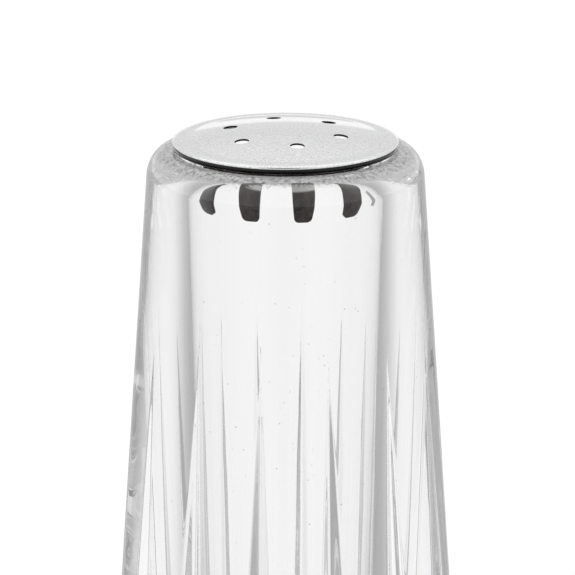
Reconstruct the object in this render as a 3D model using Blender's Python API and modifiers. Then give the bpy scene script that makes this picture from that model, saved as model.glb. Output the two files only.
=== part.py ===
"""Salt shaker with a push-in cap: grooved glass body, pressed cover and spring collar.

Metres, +Z up. The body stands on z = 0 with the well's axis on Z, and its front faces -Y.
"""

import math

import bmesh
import bpy
from mathutils import Matrix, Vector

MM = 0.001

# Glass body
GLASS_HEIGHT = 78.0 * MM
TOP_RADIUS = 14.55 * MM  # the tapered wall, carried up to the lip
BASE_RADIUS = 19.65 * MM  # the tapered wall, carried down to the table
SHOULDER_WIDTH = 2.15 * MM
SHOULDER_HEIGHT = 2.7 * MM
MOUTH_WALL = 4.0 * MM  # glass between the well and the taper, at the lip
MOUTH_ROUND_WIDTH = 1.3 * MM
MOUTH_ROUND_HEIGHT = 3.0 * MM
LIP_LAND = 0.3 * MM  # least flat that the two roundings leave on the lip
WELL_DRAFT = 1.65 * MM  # radius that the well loses on its way down
FLOOR_THICKNESS = 9.5 * MM
FLOOR_ROUND = 5.0 * MM
BASE_EDGE = 1.2 * MM
FOOT_WIDTH = 3.6 * MM
RECESS_DEPTH = 0.8 * MM

# Grooves: a V between each panel and the next, deepening from nothing to the base
GROOVE_COUNT = 14
GROOVE_TOP = 15.0 * MM  # below the lip
GROOVE_DEPTH = 1.45 * MM  # at the base
GROOVE_EDGE = 0.2 * MM  # half a groove's width where it runs out
GROOVE_SPREAD = 1.2  # half-width that a groove gains with its depth
GROOVE_TURN = 16.4  # degrees from the front to a groove
PANEL_STEPS = 6

# Cap cover
RIM_INSET = 0.4 * MM  # from the lip's outer edge to the cover's rim
SEAT_GAP = 0.2 * MM
COVER_GAUGE = 0.22 * MM
LEDGE_WIDTH = 1.6 * MM  # from the rim to the foot of the dome
DOME_RISE = 1.1 * MM
CURL_LIP = 1.1 * MM  # how far the rolled edge comes back under
CRIMP_GAP = 0.12 * MM
HOLE_COUNT = 6
HOLE_DIAMETER = 1.55 * MM
HOLE_CIRCLE = 6.15 * MM
HOLE_TURN = 41.7  # degrees from +X

# Spring collar
COLLAR_GAUGE = 0.25 * MM
BEND_RADIUS = 0.6 * MM
ROOT_BAND = 0.5 * MM  # unslotted ring between the bend and the fingers
FINGER_COUNT = 12
FINGER_REACH = 5.35 * MM  # below the lip
FINGER_ROOT_WIDTH = 2.7 * MM
FINGER_TIP_WIDTH = 1.7 * MM
FINGER_BOW = 0.2 * MM
FINGER_TUCK = 0.5 * MM  # the tips turn in, to lead the cap into the well
FINGER_GAP = 0.3 * MM  # from the bow to the well
FINGER_TURN = 10.0  # degrees from the front to a finger
SLOT_CHAMFER = 0.45 * MM
TIP_ROUND = 0.45 * MM

# Finishes: base colour, roughness
GLASS_COLOUR = (0.96, 0.96, 0.95)
GLASS_ROUGHNESS = 0.02
GLASS_IOR = 1.5
COVER_COLOUR = (0.78, 0.78, 0.79)
COVER_ROUGHNESS = 0.25
COLLAR_COLOUR = (0.36, 0.34, 0.33)
COLLAR_ROUGHNESS = 0.35

# Mesh
TURN_STEPS = 72
WELL_STEPS = 72
ARC_STEPS = 5
CURL_STEPS = 6
DOME_STEPS = 5
FINGER_STEPS = 6
TIP_STEPS = 3
HOLE_SIDES = 16
CUT_MARGIN = 1.0 * MM  # how far a cutter stands past what it cuts
MERGE = 0.01 * MM
SHARP_ANGLE = math.radians(35)
FRONT = math.radians(-90)

# Sizes that follow
LIP_RADIUS = TOP_RADIUS - SHOULDER_WIDTH
WELL_RADIUS = TOP_RADIUS - MOUTH_WALL
RIM_RADIUS = LIP_RADIUS - RIM_INSET
CURL_HEIGHT = 2 * COVER_GAUGE + COLLAR_GAUGE + 2 * CRIMP_GAP
CURL_RADIUS = CURL_HEIGHT / 2
CURL_BOTTOM = GLASS_HEIGHT + SEAT_GAP
LEDGE_TOP = CURL_BOTTOM + CURL_HEIGHT
DOME_RADIUS = RIM_RADIUS - LEDGE_WIDTH
FLANGE_BOTTOM = CURL_BOTTOM + COVER_GAUGE + CRIMP_GAP
FINGER_RADIUS = WELL_RADIUS - FINGER_GAP - FINGER_BOW
FINGER_TIP = GLASS_HEIGHT - FINGER_REACH


def clear_scene():
    for obj in list(bpy.data.objects):
        bpy.data.objects.remove(obj)


def new_collection(name):
    collection = bpy.data.collections.new(name)
    bpy.context.scene.collection.children.link(collection)
    return collection


def new_material(name, colour, roughness, metallic=0.0, transmission=0.0):
    material = bpy.data.materials.new(name)
    material.use_nodes = True
    shader = material.node_tree.nodes["Principled BSDF"]
    shader.inputs["Base Color"].default_value = (*colour, 1.0)
    shader.inputs["Roughness"].default_value = roughness
    shader.inputs["Metallic"].default_value = metallic
    shader.inputs["Transmission Weight"].default_value = transmission
    shader.inputs["IOR"].default_value = GLASS_IOR
    return material


def new_object(name, mesh, collection, material=None):
    obj = bpy.data.objects.new(name, mesh)
    collection.objects.link(obj)
    if material:
        mesh.materials.append(material)
    return obj


def mesh_from(name, bm):
    mesh = bpy.data.meshes.new(name)
    bm.to_mesh(mesh)
    bm.free()
    return mesh


def arc(centre, width, height, start, end, steps):
    """Points (radius, z) along an elliptic arc, angles in degrees from the outward direction."""
    points = []
    for step in range(steps + 1):
        angle = math.radians(start + (end - start) * step / steps)
        points.append((centre[0] + width * math.cos(angle), centre[1] + height * math.sin(angle)))
    return points


def turned(name, profile, steps, collection, material=None):
    """A profile of (radius, z) points, running down its outer side, turned about Z."""
    bm = bmesh.new()
    verts = [bm.verts.new((radius, 0.0, z)) for radius, z in profile]
    for upper, lower in zip(verts, verts[1:]):
        bm.edges.new((upper, lower))
    obj = new_object(name, mesh_from(name, bm), collection, material)
    screw = obj.modifiers.new("turn", "SCREW")
    screw.steps = steps
    screw.render_steps = steps
    screw.use_merge_vertices = True
    screw.merge_threshold = MERGE
    screw.use_smooth_shade = True
    return obj


def thicken(obj, gauge):
    """Gives a turned skin its sheet thickness, on the side away from its faces."""
    shell = obj.modifiers.new("sheet", "SOLIDIFY")
    shell.thickness = gauge
    shell.offset = -1
    shell.use_even_offset = True


def cut(obj, cutter):
    cutter.hide_render = True
    cutter.display_type = "WIRE"
    boolean = obj.modifiers.new(cutter.name, "BOOLEAN")
    boolean.operation = "DIFFERENCE"
    boolean.solver = "EXACT"
    boolean.object = cutter


def taper_radius(z):
    return BASE_RADIUS + (TOP_RADIUS - BASE_RADIUS) * z / GLASS_HEIGHT


def groove_depth(z):
    """The grooves deepen evenly from their tops down to the base."""
    grooved = GLASS_HEIGHT - GROOVE_TOP
    return GROOVE_DEPTH * max(0.0, grooved - z) / grooved


def wall_section(z, inset):
    """A ring of points round the wall: panels on the taper, each with a V before it."""
    depth = groove_depth(z)
    radius = taper_radius(z) - inset
    half = (GROOVE_EDGE + GROOVE_SPREAD * depth) / taper_radius(z)
    pitch = 2 * math.pi / GROOVE_COUNT
    ring = []
    for groove in range(GROOVE_COUNT):
        middle = FRONT + math.radians(GROOVE_TURN) + groove * pitch
        points = [(radius - depth, middle)]
        for step in range(PANEL_STEPS + 1):
            points.append((radius, middle + half + (pitch - 2 * half) * step / PANEL_STEPS))
        ring += [Vector((out * math.cos(angle), out * math.sin(angle), z)) for out, angle in points]
    return ring


def loft(name, sections):
    """Skins rings of equal count, from the lowest to the highest, and closes both ends."""
    bm = bmesh.new()
    rings = [[bm.verts.new(point) for point in section] for section in sections]
    for lower, upper in zip(rings, rings[1:]):
        for k in range(len(lower)):
            bm.faces.new((lower[k - 1], lower[k], upper[k], upper[k - 1]))
    bm.faces.new(reversed(rings[0]))
    bm.faces.new(rings[-1])
    return mesh_from(name, bm)


def glass_sections():
    base_edge = arc((0.0, BASE_EDGE), BASE_EDGE, BASE_EDGE, -90, 0, ARC_STEPS)
    shoulder_foot = GLASS_HEIGHT - SHOULDER_HEIGHT
    shoulder = arc((0.0, shoulder_foot), SHOULDER_WIDTH, SHOULDER_HEIGHT, 0, 90, ARC_STEPS)
    sections = [wall_section(z, BASE_EDGE - out) for out, z in base_edge]
    sections.append(wall_section(GLASS_HEIGHT - GROOVE_TOP, 0.0))
    sections += [wall_section(z, SHOULDER_WIDTH - out) for out, z in shoulder]
    return sections


def well_profile():
    """The well from above the lip: rounded mouth, drafted wall and rounded floor."""
    floor_radius = WELL_RADIUS - WELL_DRAFT
    floor_round = min(FLOOR_ROUND, floor_radius)
    round_width = min(MOUTH_ROUND_WIDTH, MOUTH_WALL - SHOULDER_WIDTH - LIP_LAND)
    mouth_foot = GLASS_HEIGHT - MOUTH_ROUND_HEIGHT
    mouth_centre = (WELL_RADIUS + round_width, mouth_foot)
    profile = [(0.0, GLASS_HEIGHT + CUT_MARGIN), (mouth_centre[0], GLASS_HEIGHT + CUT_MARGIN)]
    profile += arc(mouth_centre, round_width, MOUTH_ROUND_HEIGHT, 90, 180, ARC_STEPS)
    floor_centre = (floor_radius - floor_round, FLOOR_THICKNESS + floor_round)
    profile += arc(floor_centre, floor_round, floor_round, 0, -90, ARC_STEPS)
    profile.append((0.0, FLOOR_THICKNESS))
    return profile


def recess_mesh():
    """A shallow dish under the base leaves a ring to stand on."""
    foot_inner = BASE_RADIUS - GROOVE_DEPTH - BASE_EDGE - FOOT_WIDTH
    bm = bmesh.new()
    bmesh.ops.create_cone(
        bm,
        cap_ends=True,
        segments=TURN_STEPS,
        radius1=foot_inner + CUT_MARGIN,
        radius2=foot_inner - RECESS_DEPTH,
        depth=CUT_MARGIN + RECESS_DEPTH,
        matrix=Matrix.Translation((0.0, 0.0, (RECESS_DEPTH - CUT_MARGIN) / 2)),
    )
    return mesh_from("base_recess", bm)


def make_glass_body(parts, cutters):
    material = new_material("clear_glass", GLASS_COLOUR, GLASS_ROUGHNESS, transmission=1.0)
    body = new_object("glass_body", loft("glass_body", glass_sections()), parts, material)
    body.data.shade_smooth()
    body.data.set_sharp_from_angle(angle=SHARP_ANGLE)
    cut(body, turned("well", well_profile(), WELL_STEPS, cutters))
    cut(body, new_object("base_recess", recess_mesh(), cutters))
    return body


def cover_profile():
    """The cover's outer skin: dome, ledge, rolled edge and the lip turned back under."""
    rise_radius = (DOME_RADIUS**2 + DOME_RISE**2) / (2 * DOME_RISE)
    profile = []
    for step in range(DOME_STEPS + 1):
        radius = DOME_RADIUS * step / DOME_STEPS
        drop = rise_radius - math.sqrt(rise_radius**2 - radius**2)
        profile.append((radius, LEDGE_TOP + DOME_RISE - drop))
    curl_centre = (RIM_RADIUS - CURL_RADIUS, CURL_BOTTOM + CURL_RADIUS)
    profile += arc(curl_centre, CURL_RADIUS, CURL_RADIUS, 90, -90, CURL_STEPS)
    profile.append((RIM_RADIUS - CURL_LIP, CURL_BOTTOM))
    return profile


def hole_mesh():
    bm = bmesh.new()
    for k in range(HOLE_COUNT):
        turn = Matrix.Rotation(math.radians(HOLE_TURN) + 2 * math.pi * k / HOLE_COUNT, 4, "Z")
        place = turn @ Matrix.Translation((HOLE_CIRCLE, 0.0, LEDGE_TOP))
        bmesh.ops.create_cone(
            bm,
            cap_ends=True,
            segments=HOLE_SIDES,
            radius1=HOLE_DIAMETER / 2,
            radius2=HOLE_DIAMETER / 2,
            depth=2 * (DOME_RISE + CUT_MARGIN),
            matrix=place,
        )
    return mesh_from("sprinkle_holes", bm)


def make_cap_cover(parts, cutters):
    material = new_material("satin_steel", COVER_COLOUR, COVER_ROUGHNESS, metallic=1.0)
    cover = turned("cap_cover", cover_profile(), TURN_STEPS, parts, material)
    thicken(cover, COVER_GAUGE)
    cut(cover, new_object("sprinkle_holes", hole_mesh(), cutters))
    return cover


def collar_profile():
    """The collar's outer skin: underside of the flange, bend, and a finger bowed out towards the well."""
    flange_edge = (RIM_RADIUS - CURL_RADIUS, FLANGE_BOTTOM)
    bend_centre = (FINGER_RADIUS + BEND_RADIUS, FLANGE_BOTTOM - BEND_RADIUS)
    profile = [flange_edge] + arc(bend_centre, BEND_RADIUS, BEND_RADIUS, 90, 180, ARC_STEPS)
    root = profile[-1][1]
    for step in range(1, FINGER_STEPS + 1):
        along = step / FINGER_STEPS
        bow = FINGER_BOW * math.sin(math.pi * along) - FINGER_TUCK * along**3
        profile.append((FINGER_RADIUS + bow, root + (FINGER_TIP - root) * along))
    return profile


def slot_outline():
    """Half the outline of the gap between two fingers, as (across, z), from its top to its open end."""
    pitch = 2 * math.pi * FINGER_RADIUS / FINGER_COUNT
    slot_top = FLANGE_BOTTOM - BEND_RADIUS - ROOT_BAND
    slot_end = FINGER_TIP - CUT_MARGIN
    root_half = (pitch - FINGER_ROOT_WIDTH) / 2
    tip_half = (pitch - FINGER_TIP_WIDTH) / 2
    corner = min(SLOT_CHAMFER, root_half)
    tip_round = min(TIP_ROUND, FINGER_TIP_WIDTH / 2)
    tip_centre = (tip_half + tip_round, FINGER_TIP + tip_round)
    outline = [(root_half - corner, slot_top), (root_half, slot_top - corner)]
    outline += arc(tip_centre, tip_round, tip_round, 180, 270, TIP_STEPS)
    outline.append((tip_centre[0], slot_end))
    return outline


def slot_mesh():
    """One punch for each gap, midway between fingers, right through the collar's wall."""
    inner = FINGER_RADIUS - FINGER_TUCK - COLLAR_GAUGE - CUT_MARGIN
    outer = FINGER_RADIUS + FINGER_BOW + CUT_MARGIN
    half = slot_outline()
    outline = half + [(-across, z) for across, z in reversed(half)]
    bm = bmesh.new()
    for k in range(FINGER_COUNT):
        angle = FRONT + math.radians(FINGER_TURN) + 2 * math.pi * (k + 0.5) / FINGER_COUNT
        turn = Matrix.Rotation(angle, 4, "Z")
        near = [bm.verts.new(turn @ Vector((inner, across, z))) for across, z in outline]
        face = bm.faces.new(near)
        grown = bmesh.ops.extrude_face_region(bm, geom=[face])["geom"]
        far = [item for item in grown if isinstance(item, bmesh.types.BMVert)]
        bmesh.ops.translate(bm, verts=far, vec=turn.to_3x3() @ Vector((outer - inner, 0.0, 0.0)))
    bmesh.ops.recalc_face_normals(bm, faces=bm.faces)
    return mesh_from("finger_slots", bm)


def make_spring_collar(parts, cutters):
    material = new_material("spring_steel", COLLAR_COLOUR, COLLAR_ROUGHNESS, metallic=1.0)
    collar = turned("spring_collar", collar_profile(), TURN_STEPS, parts, material)
    thicken(collar, COLLAR_GAUGE)
    cut(collar, new_object("finger_slots", slot_mesh(), cutters))
    return collar


def main():
    clear_scene()
    parts = new_collection("salt_shaker")
    cutters = new_collection("cutters")
    make_glass_body(parts, cutters)
    lift = bpy.data.objects.new("cap_lift", None)
    parts.objects.link(lift)
    for piece in (make_cap_cover(parts, cutters), make_spring_collar(parts, cutters)):
        piece.parent = lift


main()
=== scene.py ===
"""Looks of a grooved glass salt shaker with a push-in metal cap.

Metres, in the frame of the solids: +Z up, the well's axis on Z, the table at z = 0, the front towards -Y.
"""

import math

import bmesh
import bpy
import numpy as np
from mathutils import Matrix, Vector


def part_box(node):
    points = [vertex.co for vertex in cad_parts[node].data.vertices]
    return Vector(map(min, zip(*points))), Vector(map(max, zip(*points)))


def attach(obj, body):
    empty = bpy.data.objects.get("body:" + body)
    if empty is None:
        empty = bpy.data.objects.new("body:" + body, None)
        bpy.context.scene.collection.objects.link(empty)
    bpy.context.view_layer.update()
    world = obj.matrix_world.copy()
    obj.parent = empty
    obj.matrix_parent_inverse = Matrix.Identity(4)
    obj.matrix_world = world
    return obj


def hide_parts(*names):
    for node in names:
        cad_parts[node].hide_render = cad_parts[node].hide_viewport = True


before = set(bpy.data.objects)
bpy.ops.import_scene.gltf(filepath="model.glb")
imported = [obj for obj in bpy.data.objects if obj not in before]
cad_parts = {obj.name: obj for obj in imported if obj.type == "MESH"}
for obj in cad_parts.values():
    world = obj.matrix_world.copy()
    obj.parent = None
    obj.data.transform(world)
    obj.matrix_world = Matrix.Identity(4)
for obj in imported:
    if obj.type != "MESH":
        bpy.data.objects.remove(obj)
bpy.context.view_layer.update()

MM = 0.001
DEGREE = math.pi / 180
FULL_TURN = 2 * math.pi

# The photograph's frame and view
IMAGE_SIZE = 575
PIXELS_PER_MM = 9.46  # at the cap's rim
AXIS_PIXEL = 285.5  # column of the well's axis
RIM_PIXEL = 142.6  # row of the middle of the cap's rim
VIEW_ELEVATION = 15.5 * DEGREE
VIEW_DISTANCE = 0.7
VIEW_START = 10 * MM  # nothing nearer to the camera is drawn
SENSOR = 36.0

# Sizes that the solids give
GLASS_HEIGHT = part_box("glass_body")[1].z
CURL_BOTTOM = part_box("cap_cover")[0].z
DOME_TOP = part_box("cap_cover")[1].z
FINGER_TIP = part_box("spring_collar")[0].z
FLANGE_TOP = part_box("spring_collar")[1].z
RIM_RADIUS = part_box("cap_cover")[1].x

# Glass body
TOP_RADIUS = 14.55 * MM  # the tapered wall, carried up to the lip
BASE_RADIUS = 19.65 * MM  # the tapered wall, carried down to the table
SHOULDER_WIDTH = 2.15 * MM
SHOULDER_HEIGHT = 2.7 * MM
WELL_RADIUS = 10.55 * MM
WELL_DRAFT = 1.65 * MM
MOUTH_ROUND_WIDTH = 1.3 * MM
MOUTH_ROUND_HEIGHT = 3.0 * MM
FLOOR_THICKNESS = 9.5 * MM
FLOOR_ROUND = 5.0 * MM
BASE_EDGE = 1.2 * MM
FOOT_INNER = 13.4 * MM
RECESS_DEPTH = 0.8 * MM
RECESS_RUN = 1.6 * MM  # across the recess's sloping edge

# Grooves
GROOVE_COUNT = 14
GROOVE_TOP = 21.0 * MM  # below the lip
GROOVE_DEPTH = 1.45 * MM  # at the base
GROOVE_HURRY = 1.6  # the power by which they deepen
GROOVE_EDGE = 0.08 * MM  # half a groove's width where it runs out
GROOVE_SPREAD = 1.2  # half-width that a groove gains with its depth
GROOVE_TURN = 16.4 * DEGREE  # from the front to a groove
GROOVE_EASE = 0.6 * MM  # height over which the grooves' tops fade in
GROOVE_ROUND = 0.12  # rounding of a groove's foot and edges, as a share of its half-width
GROOVE_REACH = 1.5  # half-widths on each side that the grid's columns follow
GROOVE_STEPS = 24
GROOVE_CROWDING = 0.7  # how far those columns gather at the foot and the edges
PANEL_STEPS = 12

# Cap cover
COVER_GAUGE = 0.22 * MM
CURL_HEIGHT = 0.93 * MM
CURL_EASE = 1.0 * MM  # how far in from the rim the rolled edge starts to turn down
CURL_TURN = 0.35 * MM  # height over which it turns down
CURL_FOOT = 0.24 * MM  # rounding of its foot
CURL_LIP = 1.1 * MM  # how far in from the rim it ends
LEDGE_WIDTH = 1.6 * MM
LEDGE_EASE = 0.04 * MM  # rounding where the dome meets the ledge
HOLE_COUNT = 6
HOLE_RADIUS = 0.775 * MM
HOLE_CIRCLE = 6.15 * MM
HOLE_TURN = 41.7 * DEGREE  # from +X
HOLE_PATCH = 1.7 * MM  # half the depth of the ring of patches that holds the holes
HOLE_DRAW = 0.01 * MM  # how far the punch drew the edge down
HOLE_DRAW_REACH = 0.06 * MM

# Spring collar
COLLAR_GAUGE = 0.25 * MM
BEND_RADIUS = 0.6 * MM
ROOT_BAND = 0.5 * MM
FINGER_COUNT = 12
FINGER_RADIUS = 10.05 * MM
FINGER_ROOT_WIDTH = 2.7 * MM
FINGER_TIP_WIDTH = 1.7 * MM
FINGER_BOW = 0.2 * MM
FINGER_TUCK = 0.5 * MM
FINGER_TURN = 10.0 * DEGREE  # from the front to a finger
SLOT_ROUND = 0.45 * MM
TIP_ROUND = 0.45 * MM

# Mesh
FRONT = -90 * DEGREE
SHARP_ANGLE = 40 * DEGREE
ARC_STEPS = 24
WALL_STEPS = 46
WELL_STEPS = 8
FLAT_STEPS = 5
FOOT_STEPS = 7
DISH_STEPS = 6
LIP_STEPS = 4
SHEET_COLUMNS = 40  # columns of the cover to one sprinkle hole
SHEET_ROWS = 16
FINGER_COLUMNS = 14
SLOT_COLUMNS = 8
WELD = 0.0001 * MM

# Materials
SEED_SPACING = 1.7 * MM  # between the tiny bubbles in the glass
SEED_SIZE = (0.025, 0.05)  # from a seed's core to its edge, as shares of their spacing
WAVE_LENGTH = 5.0 * MM
WAVE_DEPTH = 0.02 * MM
WAVE_STRENGTH = 0.5
LIP_WEAR_AND_SHADE = 0.9 * MM  # height over which the lip has pits, which are also painted a darker grey as shade under the cap
PIT_SIZE = 0.35 * MM
PIT_DEPTH = 0.03 * MM
PIT_SHADE_NOISE = (0.4, 0.65)  # noise from the sound glass to the middle of a pit, over which the pits' painted shade comes in
GRAIN_NOISE = (0.3, 0.6)  # noise from the dark to the light grain of the metals
GRAIN_DEPTH = 0.02 * MM
CURL_SHADE_HEIGHT = 0.4 * MM  # how far up the rolled edge its painted shade reaches
BEND_HIGHLIGHT_LOW = 75.3 * MM  # painted highlight: the fingers are painted bright from here, for the light on their bend
BEND_HIGHLIGHT_HIGH = 75.65 * MM  # to here
BEND_HIGHLIGHT_EASE = 0.1 * MM
BRIGHT_BACK_LINE = -4.7 * MM  # y, from the dark front fingers to the rest, which are painted bright as a reflection
BRIGHT_BACK_EASE = 0.5 * MM

# Stage
# Greys of the surroundings, to glass and to metal, by azimuth from straight behind the object, in degrees
GLASS_TONES = (
    (0, 1.0), (20, 0.98), (35, 0.93), (45, 0.86), (57, 0.64),
    (68, 0.47), (85, 0.4), (110, 0.5), (140, 0.6), (155, 0.5), (170, 0.35), (180, 0.3))
METAL_TONES = ((0, 1.0), (60, 1.0), (110, 0.8), (180, 0.7))
METAL_FLOOR_TONES = ((0, 0.72), (15, 0.6), (35, 0.15), (90, 0.04), (180, 0.02))
# Greys of the sky, to metal, by the sine of the elevation
SKY_TONES = (
    (0.0, 1.0), (0.1, 1.0), (0.12, 0.78), (0.3, 0.76), (0.5, 0.82),
    (0.62, 0.84), (0.7, 1.0), (0.97, 1.0), (0.985, 0.05), (1.0, 0.02))
PLAIN_SKY_TONE = 0.8  # grey of the sky to everything else
PAINTED_SHADOW_TONE = 0.5  # painted shadow: a darker grey of the floor, shown to glass, close to the object
NEAR_REACH = 24 * MM
FAR_REACH = 50 * MM
FLOOR_REACH = 4.0
FLOOR_WHITE = 0.6  # share of plain white in the floor that the camera sees
FOOT_GAP = 0.02 * MM  # air between the foot and the floor, which turns light back up inside the glass
LAMP_PLACE = Vector((0.0, 0.45, 0.7))
LAMP_AIM = Vector((0.0, 0.0, 0.08))
LAMP_SIZE = 0.5
LAMP_POWER = 3.0
LIGHT_BOUNCES = 48  # light that runs down inside the thick glass turns back many times before it leaves


# Nodes


def linear(hex_colour):
    """An sRGB hex colour as linear RGBA."""
    srgb = np.array([int(hex_colour[k:k + 2], 16) for k in (0, 2, 4)]) / 255
    rgb = np.where(srgb <= 0.04045, srgb / 12.92, ((srgb + 0.055) / 1.055) ** 2.4)
    return (*rgb.tolist(), 1.0)


def grey(tone):
    """A linear grey as RGBA."""
    return (tone, tone, tone, 1.0)


def add(tree, kind, settings=(), sockets=()):
    """Adds a node, sets its properties, and gives its inputs a value or a link from an output."""
    made = tree.nodes.new(kind)
    for name, value in dict(settings).items():
        setattr(made, name, value)
    for name, value in dict(sockets).items():
        if isinstance(value, bpy.types.NodeSocket):
            tree.links.new(value, made.inputs[name])
        else:
            made.inputs[name].default_value = value
    return made


def object_place(tree):
    """Coordinates of the piece, which are those of the frame."""
    return add(tree, "ShaderNodeTexCoord").outputs["Object"]


def axes(tree, place):
    """X, Y and Z of a place."""
    return add(tree, "ShaderNodeSeparateXYZ", (), {"Vector": place}).outputs


def calculate(tree, operation, *values):
    """The result of one sum."""
    return add(tree, "ShaderNodeMath", {"operation": operation}, dict(enumerate(values))).outputs[0]


def remap(tree, value, source, target=(0.0, 1.0), shape="LINEAR"):
    """A value taken from one range to another and held at its ends."""
    made = add(tree, "ShaderNodeMapRange", {"interpolation_type": shape}, {
        "Value": value, "From Min": source[0], "From Max": source[1],
        "To Min": target[0], "To Max": target[1]})
    return made.outputs["Result"]


def fade(tree, value, start, end, top=1.0):
    """Nothing up to a start and a top beyond an end, with a smooth step between them."""
    return remap(tree, value, (start, end), (0.0, top), "SMOOTHSTEP")


def mix(tree, factor, first, second, blend="MIX"):
    """Two colours mixed by a factor."""
    made = add(tree, "ShaderNodeMix", {"data_type": "RGBA", "blend_type": blend}, {
        0: factor, 6: first, 7: second})
    return made.outputs[2]


def noise(tree, place, size, detail, roughness=0.5):
    """Noise whose largest features have a size."""
    made = add(tree, "ShaderNodeTexNoise", (), {
        "Vector": place, "Scale": 1 / size, "Detail": detail, "Roughness": roughness})
    return made.outputs["Fac"]


def bump(tree, height, strength, depth):
    """A node that tilts the surface by a height."""
    return add(tree, "ShaderNodeBump", (), {"Height": height, "Strength": strength, "Distance": depth})


def ramp(tree, factor, stops):
    """A colour ramp through (position, grey) stops."""
    made = add(tree, "ShaderNodeValToRGB", (), {"Fac": factor})
    elements = made.color_ramp.elements
    while len(elements) < len(stops):
        elements.new(0.5)
    for element, (position, tone) in zip(elements, stops):
        element.position = position
        element.color = grey(tone)
    return made.outputs["Color"]


# Surfaces


def grid(points, closed):
    """Vertices and quads of a grid of points; rows that run down the outer side give outward faces."""
    rows, columns = points.shape[:2]
    across = columns if closed else columns - 1
    row, column = np.meshgrid(np.arange(rows - 1), np.arange(across), indexing="ij")
    here = row * columns + column
    beside = row * columns + (column + 1) % columns
    quads = np.stack([here, here + columns, beside + columns, beside], axis=-1)
    return points.reshape(-1, 3), quads.reshape(-1, 4)


def round_axis(radius, angle, height):
    """Points at a radius, angle and height about Z, from arrays that broadcast together."""
    radius, angle, height = np.broadcast_arrays(radius, angle, height)
    return np.stack([radius * np.cos(angle), radius * np.sin(angle), height], axis=-1)


def arc(centre, width, height, start, end, steps=ARC_STEPS):
    """(radius, height) along an ellipse about a centre, angles in degrees from outwards to up."""
    angle = np.linspace(start, end, steps + 1) * DEGREE
    return np.stack([centre[0] + width * np.cos(angle), centre[1] + height * np.sin(angle)], axis=1)


def run(start, end, steps):
    """Even steps along a straight line, without its first point."""
    return np.linspace(start, end, steps + 1)[1:]


def soft_ramp(value, ease):
    """Nothing below 0 and the value above it, with a hyperbola for a bend."""
    return (value + np.hypot(value, ease)) / 2


def new_piece(name, grids, material):
    """One mesh from grids, welded where they meet and at their poles, sharp at open and steep edges."""
    starts = np.cumsum([0] + [len(points) for points, _ in grids])
    points = np.concatenate([points for points, _ in grids])
    quads = np.concatenate([quads + start for (_, quads), start in zip(grids, starts)])
    mesh = bpy.data.meshes.new(name)
    mesh.from_pydata(points.tolist(), [], quads.tolist())
    bm = bmesh.new()
    bm.from_mesh(mesh)
    bmesh.ops.remove_doubles(bm, verts=bm.verts, dist=WELD)
    for face in bm.faces:
        face.smooth = True
    for edge in bm.edges:
        edge.smooth = edge.calc_face_angle(math.pi) < SHARP_ANGLE
    bm.to_mesh(mesh)
    bm.free()
    mesh.materials.append(material)
    obj = bpy.data.objects.new(name, mesh)
    bpy.context.scene.collection.objects.link(obj)
    return obj


def stand_for(obj, node, body):
    """The piece takes a solid's place and rides on its body."""
    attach(obj, body)
    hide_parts(node)


def thicken(obj, gauge, cut, back):
    """Gives a sheet its gauge, behind its faces, and its cut edges and its back their own materials."""
    obj.data.materials.append(cut)
    obj.data.materials.append(back)
    sheet = obj.modifiers.new("gauge", "SOLIDIFY")
    sheet.thickness = gauge
    sheet.offset = -1
    sheet.use_even_offset = True
    sheet.material_offset_rim = 1
    sheet.material_offset = 2


# Glass body


def taper(height):
    """The plain wall: a cone from the table to the lip."""
    return BASE_RADIUS + (TOP_RADIUS - BASE_RADIUS) * height / GLASS_HEIGHT


def groove_depth(height):
    """Grooves deepen from their softly started tops to the base, fastest at first."""
    grooved = GLASS_HEIGHT - GROOVE_TOP
    left = np.clip(1 - soft_ramp(grooved - height, GROOVE_EASE) / grooved, 0, 1)
    return GROOVE_DEPTH * (1 - left**GROOVE_HURRY)


def groove_dip(across):
    """A V, one deep at 0 and nothing from 1 on, whose foot and edges are hyperbolas."""
    rounded = soft_ramp(1 - np.hypot(across, GROOVE_ROUND), GROOVE_ROUND)
    return rounded / soft_ramp(1 - GROOVE_ROUND, GROOVE_ROUND)


def groove_columns(height):
    """Angles and dips by height: columns that keep to each groove, and even ones on the panel after it."""
    pitch = FULL_TURN / GROOVE_COUNT
    half = (GROOVE_EDGE + GROOVE_SPREAD * groove_depth(height)) / taper(height)
    step = np.linspace(-GROOVE_REACH, GROOVE_REACH, GROOVE_STEPS + 1)
    across = step - GROOVE_CROWDING * np.sin(FULL_TURN * step) / FULL_TURN
    reach = half * across[-1]
    panel = reach + (pitch - 2 * reach) * np.linspace(0, 1, PANEL_STEPS + 1)[1:-1]
    offset = np.concatenate([half * across, panel], axis=1)
    dip = groove_dip(np.minimum(offset, pitch - offset) / half)
    groove = FRONT + GROOVE_TURN + np.arange(GROOVE_COUNT) * pitch
    angle = groove[:, None] + offset[:, None, :]
    return angle.reshape(len(offset), -1), np.tile(dip, GROOVE_COUNT)


def well_profile():
    """The well from the middle of its floor: rounded corner, drafted wall, rounded mouth."""
    floor_radius = WELL_RADIUS - WELL_DRAFT
    corner = (floor_radius - FLOOR_ROUND, FLOOR_THICKNESS + FLOOR_ROUND)
    mouth = (WELL_RADIUS + MOUTH_ROUND_WIDTH, GLASS_HEIGHT - MOUTH_ROUND_HEIGHT)
    floor = np.linspace((0.0, FLOOR_THICKNESS), (corner[0], FLOOR_THICKNESS), FLAT_STEPS + 1)[:-1]
    floor_arc = arc(corner, FLOOR_ROUND, FLOOR_ROUND, -90, 0)
    wall = run(floor_arc[-1], (WELL_RADIUS, mouth[1]), WELL_STEPS)[:-1]
    mouth_arc = arc(mouth, MOUTH_ROUND_WIDTH, MOUTH_ROUND_HEIGHT, 180, 90)
    return np.concatenate([floor, floor_arc, wall, mouth_arc])


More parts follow.
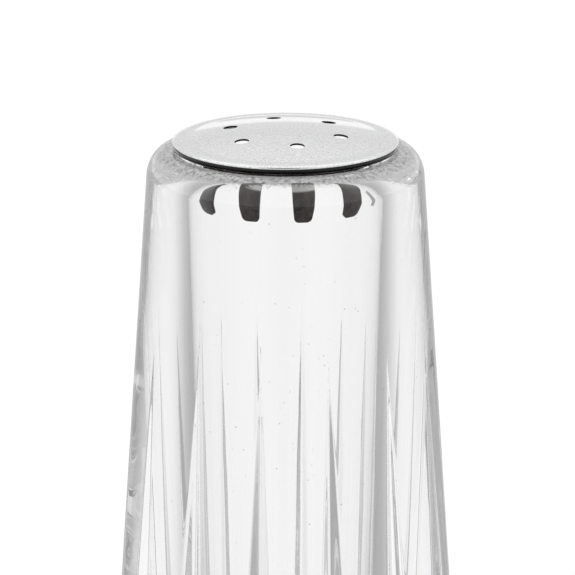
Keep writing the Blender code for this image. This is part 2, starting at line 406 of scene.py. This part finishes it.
def wall_profile():
    """From the lip down: shoulder, tapered wall and base edge, as (distance inside the taper, height)."""
    shoulder = arc((0.0, GLASS_HEIGHT - SHOULDER_HEIGHT), SHOULDER_WIDTH, SHOULDER_HEIGHT, 90, 0)
    shoulder[:, 0] = SHOULDER_WIDTH - shoulder[:, 0]
    wall = run(shoulder[-1], (0.0, BASE_EDGE), WALL_STEPS)[:-1]
    edge = arc((0.0, BASE_EDGE), BASE_EDGE, BASE_EDGE, 0, -90, ARC_STEPS // 3)
    edge[:, 0] = BASE_EDGE - edge[:, 0]
    return np.concatenate([shoulder, wall, edge])


def recess_profile():
    """From the foot's inner edge: an S-shaped slope up to a shallow dish."""
    across = np.linspace(0, 1, ARC_STEPS)
    rise = RECESS_DEPTH * across**2 * (3 - 2 * across)
    slope = np.stack([FOOT_INNER - RECESS_RUN * across, rise], axis=1)
    dish = run(slope[-1], (0.0, RECESS_DEPTH), DISH_STEPS)
    return np.concatenate([slope, dish])


def make_glass():
    """The body in one closed skin: well, lip, grooved wall and foot, round Z."""
    well = well_profile()
    inside, height = wall_profile().T[:, :, None]
    angle, dip = groove_columns(height)
    outer = taper(height) - inside - groove_depth(height) * dip
    recess = recess_profile()
    to_recess = np.linspace(0, 1, FOOT_STEPS + 1)[1:-1, None]
    foot = outer[-1] + (FOOT_INNER - outer[-1]) * to_recess
    skin = np.concatenate([
        round_axis(well[:, :1], angle[0], well[:, 1:]),
        round_axis(outer, angle, height),
        round_axis(foot, angle[-1], 0.0),
        round_axis(recess[:, :1], angle[-1], recess[:, 1:]),
    ])
    body = new_piece("grooved_glass", [grid(skin, True)], pressed_glass())
    stand_for(body, "glass_body", "body")


# Cap cover


def cover_height(radius):
    """A low spherical dome that eases into a flat ledge."""
    ledge = CURL_BOTTOM + CURL_HEIGHT
    dome_radius = RIM_RADIUS - LEDGE_WIDTH
    rise = DOME_TOP - ledge
    sphere = (dome_radius**2 + rise**2) / (2 * rise)
    above = np.sqrt(sphere**2 - radius**2) - (sphere - rise)
    return ledge + soft_ramp(above, LEDGE_EASE)


def sheet_points(x, y):
    """Points on the cover above (x, y), drawn down at the edge of the nearest sprinkle hole."""
    turn = np.arctan2(y, x) - HOLE_TURN
    pitch = FULL_TURN / HOLE_COUNT
    nearest = HOLE_TURN + np.round(turn / pitch) * pitch
    gap = np.hypot(x - HOLE_CIRCLE * np.cos(nearest), y - HOLE_CIRCLE * np.sin(nearest)) - HOLE_RADIUS
    drawn = HOLE_DRAW * np.exp(-np.maximum(gap, 0.0) / HOLE_DRAW_REACH)
    return np.stack([x, y, cover_height(np.hypot(x, y)) - drawn], axis=-1)


def polar_sheet(radius, angle):
    """A ring of the cover, rows of radii by columns of angles."""
    radius = radius[:, None]
    return sheet_points(radius * np.cos(angle), radius * np.sin(angle))


def hole_patch(middle):
    """The cover round one hole: rings that go from the hole's circle to the edge of its patch."""
    half = math.pi / HOLE_COUNT
    inner, outer = HOLE_CIRCLE - HOLE_PATCH, HOLE_CIRCLE + HOLE_PATCH
    swing = np.linspace(-half, half, SHEET_COLUMNS + 1)
    reach = np.linspace(inner, outer, SHEET_ROWS + 1)
    edge_radius = np.concatenate([
        np.full(SHEET_COLUMNS, outer), reach[:0:-1], np.full(SHEET_COLUMNS, inner), reach[:-1]])
    edge_angle = np.concatenate([
        swing[:-1], np.full(SHEET_ROWS, half), swing[:0:-1], np.full(SHEET_ROWS, -half)])
    edge = edge_radius * np.exp(1j * (middle + edge_angle))
    centre = HOLE_CIRCLE * np.exp(1j * middle)
    circle = centre + HOLE_RADIUS * (edge - centre) / np.abs(edge - centre)
    share = np.linspace(0, 1, SHEET_ROWS)[:, None] ** 2
    ring = circle + (edge - circle) * share
    return sheet_points(ring.real, ring.imag)


def make_cover():
    """The cover's top skin, its holes and its rolled edge, with the gauge added behind."""
    columns = HOLE_COUNT * SHEET_COLUMNS
    angle = HOLE_TURN + (np.arange(columns) / columns - 0.5 / HOLE_COUNT) * FULL_TURN
    ledge_edge = RIM_RADIUS - CURL_EASE
    turned = CURL_BOTTOM + CURL_HEIGHT - CURL_TURN
    foot_middle = (RIM_RADIUS - CURL_FOOT, CURL_BOTTOM + CURL_FOOT)
    shoulder = arc((ledge_edge, turned), CURL_EASE, CURL_TURN, 90, 0)
    foot = arc(foot_middle, CURL_FOOT, CURL_FOOT, 0, -90, ARC_STEPS // 3)
    lip = run(foot[-1], (RIM_RADIUS - CURL_LIP, CURL_BOTTOM), LIP_STEPS)
    rolled = np.concatenate([shoulder, foot, lip])
    middle = polar_sheet(np.linspace(0, HOLE_CIRCLE - HOLE_PATCH, SHEET_ROWS), angle)
    ring = polar_sheet(np.linspace(HOLE_CIRCLE + HOLE_PATCH, ledge_edge, 2 * SHEET_ROWS), angle)
    edge = np.concatenate([ring[-1:], round_axis(rolled[1:, :1], angle, rolled[1:, 1:])])
    holes = HOLE_TURN + np.arange(HOLE_COUNT) * FULL_TURN / HOLE_COUNT
    grids = [grid(middle, True), grid(ring, True), grid(edge, True)]
    grids += [grid(hole_patch(hole), True) for hole in holes]
    cover = new_piece("pressed_cover", grids, satin_steel())
    # painted shade: the cut edges of the sprinkle holes are near black
    thicken(cover, COVER_GAUGE, painted_shade_edge(), bright_back_and_painted_reflection())
    stand_for(cover, "cap_cover", "cap")


# Spring collar


def finger_radius(height, root):
    """The finger's outer face: bowed out by a half sine, its tip tucked in by a cube."""
    along = (root - height) / (root - FINGER_TIP)
    return FINGER_RADIUS + FINGER_BOW * np.sin(np.pi * along) - FINGER_TUCK * along**3


def finger_half_width(along, length):
    """Half a finger's width: straight taper, a quarter-circle flare at its root and a rounded tip."""
    straight = (FINGER_ROOT_WIDTH + (FINGER_TIP_WIDTH - FINGER_ROOT_WIDTH) * along / length) / 2
    to_root = np.clip(1 - along / SLOT_ROUND, 0, 1)
    to_tip = np.clip(1 - (length - along) / TIP_ROUND, 0, 1)
    flare = SLOT_ROUND * (1 - np.sqrt(1 - to_root**2))
    return straight + flare - TIP_ROUND * (1 - np.sqrt(1 - to_tip**2))


def make_collar():
    """A flange, a bend and a band as closed rings, and a tapered grid for each finger below them."""
    flange_bottom = FLANGE_TOP - COLLAR_GAUGE
    flange_edge = RIM_RADIUS - CURL_HEIGHT / 2
    bend = (FINGER_RADIUS + BEND_RADIUS, flange_bottom - BEND_RADIUS)
    root = bend[1]
    length = root - ROOT_BAND - FINGER_TIP
    pitch = FULL_TURN / FINGER_COUNT
    flange = np.linspace((flange_edge, flange_bottom), (bend[0], flange_bottom), FLAT_STEPS + 1)[:-1]
    bend_arc = arc(bend, BEND_RADIUS, BEND_RADIUS, 90, 180, ARC_STEPS // 2)
    band_height = run(root, root - ROOT_BAND, FLAT_STEPS)
    band = np.stack([finger_radius(band_height, root), band_height], axis=1)
    profile = np.concatenate([flange, bend_arc, band])
    ease = (1 - np.cos(np.linspace(0, np.pi, 2 * ARC_STEPS))) / 2
    along = (ease * length)[:, None]
    half = finger_half_width(along, length) / FINGER_RADIUS
    across = np.linspace(-1, 1, FINGER_COLUMNS + 1)
    slot = np.linspace(half[0, 0], pitch - half[0, 0], SLOT_COLUMNS + 1)[1:-1]
    sector = np.concatenate([half[0] * across, slot])
    fingers = FRONT + FINGER_TURN + np.arange(FINGER_COUNT) * pitch
    angle = (fingers[:, None] + sector).reshape(-1)
    height = root - ROOT_BAND - along
    grids = [grid(round_axis(profile[:, :1], angle, profile[:, 1:]), True)]
    for finger in fingers:
        grids.append(grid(round_axis(finger_radius(height, root), finger + half * across, height), False))
    collar = new_piece("spring_fingers", grids, spring_steel())
    # painted reflection: the fingers' inner faces get the bright back, against their dark outer faces
    thicken(collar, COLLAR_GAUGE, collar.data.materials[0], bright_back_and_painted_reflection())
    stand_for(collar, "spring_collar", "cap")


# Materials


def new_material(name):
    """A material with its node tree and its shader."""
    material = bpy.data.materials.new(name)
    material.use_nodes = True
    tree = material.node_tree
    return material, tree, tree.nodes["Principled BSDF"]


def grained_metal(name, grain_size, colours, roughness, strength):
    """Metal whose colour, roughness and skin follow one fine grain; gives its colour for more layers."""
    material, tree, shader = new_material(name)
    grain = noise(tree, object_place(tree), grain_size, detail=4.0, roughness=0.7)
    tint = mix(tree, remap(tree, grain, GRAIN_NOISE), linear(colours[0]), linear(colours[1]))
    rough = remap(tree, grain, (0.0, 1.0), roughness)
    skin = bump(tree, grain, strength, GRAIN_DEPTH)
    shader.inputs["Metallic"].default_value = 1.0
    tree.links.new(tint, shader.inputs["Base Color"])
    tree.links.new(rough, shader.inputs["Roughness"])
    tree.links.new(skin.outputs["Normal"], shader.inputs["Normal"])
    return material, tree, shader, tint


def pressed_glass():
    """Soda-lime glass, pressed in an iron mould and fire-polished: seeded, wavy, with pits at the lip that
    are painted a darker grey as shade under the cap.
    """
    material, tree, shader = new_material("pressed_soda_lime_glass")
    place = object_place(tree)
    cell = add(tree, "ShaderNodeTexVoronoi", (), {"Vector": place, "Scale": 1 / SEED_SPACING})
    clear = remap(tree, cell.outputs["Distance"], SEED_SIZE)
    seeded = mix(tree, clear, linear("848482"), linear("ffffff"))
    wave = noise(tree, place, WAVE_LENGTH, detail=1.0)
    skin = bump(tree, wave, WAVE_STRENGTH, WAVE_DEPTH)
    pits = noise(tree, place, PIT_SIZE, detail=2.0)
    lip = fade(tree, axes(tree, place)["Z"], GLASS_HEIGHT - LIP_WEAR_AND_SHADE, GLASS_HEIGHT - LIP_WEAR_AND_SHADE / 4)
    # painted shade: the pits at the lip are tinted a darker grey for the shade under the cap
    pit_shade = remap(tree, pits, PIT_SHADE_NOISE, (0.0, lip))
    tint = mix(tree, pit_shade, seeded, linear("6e6e6c"))
    wear_and_highlight = bump(tree, pits, lip, PIT_DEPTH)
    tree.links.new(skin.outputs["Normal"], wear_and_highlight.inputs["Normal"])
    shader.inputs["Roughness"].default_value = 0.0
    shader.inputs["Transmission Weight"].default_value = 1.0
    shader.inputs["IOR"].default_value = 1.5
    tree.links.new(tint, shader.inputs["Base Color"])
    tree.links.new(wear_and_highlight.outputs["Normal"], shader.inputs["Normal"])
    return material


def satin_steel():
    """Stainless sheet, rolled satin and pressed: bright, with a fine grain and painted shade, near black, at
    the foot of its rolled edge.
    """
    material, tree, shader, lit_part = grained_metal(
        "satin_stainless_sheet", grain_size=0.2 * MM, colours=("d4d5d7", "ffffff"),
        roughness=(0.04, 0.1), strength=0.08)
    height = axes(tree, object_place(tree))["Z"]
    # painted shade: the foot of the rolled edge is painted near black
    curl_shade = fade(tree, height, CURL_BOTTOM + CURL_SHADE_HEIGHT, CURL_BOTTOM + CURL_SHADE_HEIGHT / 2)
    tree.links.new(mix(tree, curl_shade, lit_part, linear("1c1a19")), shader.inputs["Base Color"])
    return material


def painted_shade_edge():
    """Steel sheet where the punch tore through it: rough, and painted near black as shade on the walls of the
    sprinkle holes.
    """
    return grained_metal(
        "punched_edge_painted_shade", grain_size=0.1 * MM, colours=("161514", "34312f"),
        roughness=(0.45, 0.7), strength=0.4)[0]


def bright_back_and_painted_reflection():
    """Bright steel with a faint grain for the backs of the sheets; on the collar it is a painted reflection
    that lights the fingers' inner faces.
    """
    return grained_metal(
        "rolled_back_and_painted_reflection", grain_size=0.6 * MM, colours=("dcdcdc", "ffffff"),
        roughness=(0.1, 0.25), strength=0.05)[0]


def spring_steel():
    """Cold-rolled spring strip: dark at the front, painted bright as a reflection further back, and with a
    painted highlight in a band for the light on the fingers' bend.
    """
    material, tree, shader, dark_tint = grained_metal(
        "cold_rolled_spring_strip", grain_size=0.6 * MM, colours=("2b2726", "524b49"),
        roughness=(0.25, 0.45), strength=0.1)
    place = axes(tree, object_place(tree))
    # painted highlight: a narrow band of the fingers is painted bright for the light on their bend
    above = fade(tree, place["Z"], BEND_HIGHLIGHT_LOW - BEND_HIGHLIGHT_EASE, BEND_HIGHLIGHT_LOW)
    wear_and_highlight = fade(tree, place["Z"], BEND_HIGHLIGHT_HIGH + BEND_HIGHLIGHT_EASE, BEND_HIGHLIGHT_HIGH, above)
    # painted reflection: the fingers further back than this line are painted bright
    lit_part = fade(tree, place["Y"], BRIGHT_BACK_LINE - BRIGHT_BACK_EASE, BRIGHT_BACK_LINE + BRIGHT_BACK_EASE)
    bright = calculate(tree, "MAXIMUM", wear_and_highlight, lit_part)
    tree.links.new(mix(tree, bright, dark_tint, linear("f4f3f2")), shader.inputs["Base Color"])
    return material


# Stage


def azimuth_tone(tree, place, tones):
    """Grey by azimuth about Z, the same to the left and the right, from straight behind the object."""
    split = axes(tree, place)
    turn = calculate(tree, "ARCTAN2", split["X"], split["Y"])
    share = calculate(tree, "DIVIDE", calculate(tree, "ABSOLUTE", turn), math.pi)
    return ramp(tree, share, [(angle / 180, tone) for angle, tone in tones])


def sky_tone(tree, place):
    """What metal shows of the sky: a grey by azimuth times one by height."""
    by_height = ramp(tree, axes(tree, place)["Z"], SKY_TONES)
    return mix(tree, 1.0, azimuth_tone(tree, place, METAL_TONES), by_height, "MULTIPLY")


def glass_tone(tree, place):
    """What glass shows of the surroundings: a grey by azimuth, which gives way near the axis to a painted
    shadow of one darker grey.
    """
    reach = add(tree, "ShaderNodeVectorMath", {"operation": "LENGTH"}, {0: place}).outputs["Value"]
    near = fade(tree, reach, FAR_REACH, NEAR_REACH)
    return mix(tree, near, azimuth_tone(tree, place, GLASS_TONES), grey(PAINTED_SHADOW_TONE))


def seen_colour(tree, path, place, to_metal, plain):
    """White to the camera, toned to glass and metal, and plain to everything else."""
    colour = mix(tree, path["Is Glossy Ray"], plain, to_metal)
    colour = mix(tree, path["Is Transmission Ray"], colour, glass_tone(tree, place))
    return mix(tree, path["Is Camera Ray"], colour, grey(1.0))


def make_floor():
    """A plain pale floor that keeps the object's shadow and shows white elsewhere."""
    corners = [(x * FLOOR_REACH, y * FLOOR_REACH, -FOOT_GAP) for x, y in ((-1, -1), (1, -1), (1, 1), (-1, 1))]
    mesh = bpy.data.meshes.new("floor")
    mesh.from_pydata(corners, [], [(0, 1, 2, 3)])
    material, tree, shader = new_material("matt_white_floor")
    shader.inputs["Base Color"].default_value = linear("f4f4f4")
    shader.inputs["Roughness"].default_value = 0.9
    place = object_place(tree)
    path = add(tree, "ShaderNodeLightPath").outputs
    to_metal = azimuth_tone(tree, place, METAL_FLOOR_TONES)
    glow = add(tree, "ShaderNodeEmission", (), {"Color": seen_colour(tree, path, place, to_metal, grey(0.0))})
    to_pieces = calculate(tree, "MAXIMUM", path["Is Transmission Ray"], path["Is Glossy Ray"])
    to_camera = calculate(tree, "MULTIPLY", path["Is Camera Ray"], FLOOR_WHITE)
    share = calculate(tree, "MAXIMUM", to_pieces, to_camera)
    surface = add(tree, "ShaderNodeMixShader", (), {0: share, 1: shader.outputs[0], 2: glow.outputs[0]})
    tree.links.new(surface.outputs[0], tree.nodes["Material Output"].inputs["Surface"])
    mesh.materials.append(material)
    floor = bpy.data.objects.new("floor", mesh)
    bpy.context.scene.collection.objects.link(floor)


def make_world():
    """Even, soft surroundings."""
    world = bpy.data.worlds.new("studio")
    bpy.context.scene.world = world
    world.use_nodes = True
    tree = world.node_tree
    place = add(tree, "ShaderNodeTexCoord").outputs["Generated"]
    path = add(tree, "ShaderNodeLightPath").outputs
    colour = seen_colour(tree, path, place, sky_tone(tree, place), grey(PLAIN_SKY_TONE))
    tree.links.new(colour, tree.nodes["Background"].inputs["Color"])


def make_lamp():
    """A square soft box above and behind, which neither metal nor glass shows."""
    light = bpy.data.lights.new("back_box", "AREA")
    light.size = LAMP_SIZE
    light.energy = LAMP_POWER
    lamp = bpy.data.objects.new("back_box", light)
    lamp.location = LAMP_PLACE
    lamp.rotation_euler = (LAMP_AIM - LAMP_PLACE).to_track_quat("-Z", "Y").to_euler()
    lamp.visible_glossy = False
    lamp.visible_transmission = False
    bpy.context.scene.collection.objects.link(lamp)


def make_camera():
    """The photograph's view: the rim's middle falls on its pixel, at the rim's scale."""
    camera = bpy.data.cameras.new("camera")
    view = bpy.data.objects.new("camera", camera)
    bpy.context.scene.collection.objects.link(view)
    forward = Vector((0.0, math.cos(VIEW_ELEVATION), -math.sin(VIEW_ELEVATION)))
    up = Vector((0.0, math.sin(VIEW_ELEVATION), math.cos(VIEW_ELEVATION)))
    rim = Vector((0.0, 0.0, CURL_BOTTOM + CURL_HEIGHT / 2))
    right_shift = (IMAGE_SIZE / 2 - AXIS_PIXEL) / PIXELS_PER_MM * MM
    down_shift = (IMAGE_SIZE / 2 - RIM_PIXEL) / PIXELS_PER_MM * MM
    aim = rim + Vector((right_shift, 0.0, 0.0)) - up * down_shift
    view.location = aim - forward * VIEW_DISTANCE
    view.rotation_euler = (math.pi / 2 - VIEW_ELEVATION, 0.0, 0.0)
    camera.sensor_width = SENSOR
    camera.lens = SENSOR * VIEW_DISTANCE / (IMAGE_SIZE / PIXELS_PER_MM * MM)
    camera.clip_start = VIEW_START
    bpy.context.scene.camera = view


make_glass()
make_cover()
make_collar()
make_floor()
make_world()
make_lamp()
make_camera()
scene = bpy.context.scene
scene.view_settings.view_transform = "Standard"
scene.cycles.max_bounces = LIGHT_BOUNCES
scene.cycles.glossy_bounces = LIGHT_BOUNCES
scene.cycles.transmission_bounces = LIGHT_BOUNCES
